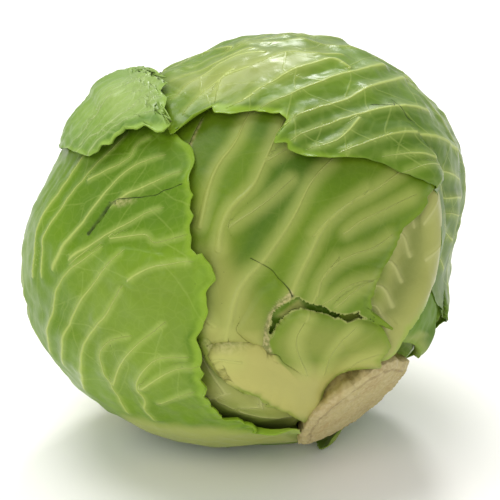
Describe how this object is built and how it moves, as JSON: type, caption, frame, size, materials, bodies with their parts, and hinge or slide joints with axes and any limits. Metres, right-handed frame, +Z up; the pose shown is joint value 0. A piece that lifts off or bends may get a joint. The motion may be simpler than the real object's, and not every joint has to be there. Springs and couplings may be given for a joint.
{
  "type": "cabbage head",
  "caption": "Round head of green cabbage lying on one side, with overlapping ribbed wrapper leaves, ragged leaf edges and a cut stalk low at the front right.",
  "frame": {"origin": "middle of the flat spot under the left wrapper leaf's midrib, which the head rests on", "axes": "+Z up; the cut stalk points right, forward and down, towards +X, -Y and -Z"},
  "size_m": [0.1781, 0.175, 0.1625],
  "materials": {
    "inner_head": "satin, waxy leaf",
    "stalk": "matte, dried cut",
    "leaf_green": "satin, waxy leaf",
    "leaf_pale": "satin, waxy leaf"
  },
  "bodies": {
    "root": {"inner_head": "inner_head", "stalk": "stalk", "leaf_back": "leaf_green", "leaf_lower_inner": "leaf_pale", "leaf_right_inner": "leaf_pale", "leaf_centre": "leaf_pale", "leaf_left": "leaf_green", "leaf_top": "leaf_green", "leaf_top_left": "leaf_green", "leaf_stub": "leaf_green"}
  },
  "joints": []
}
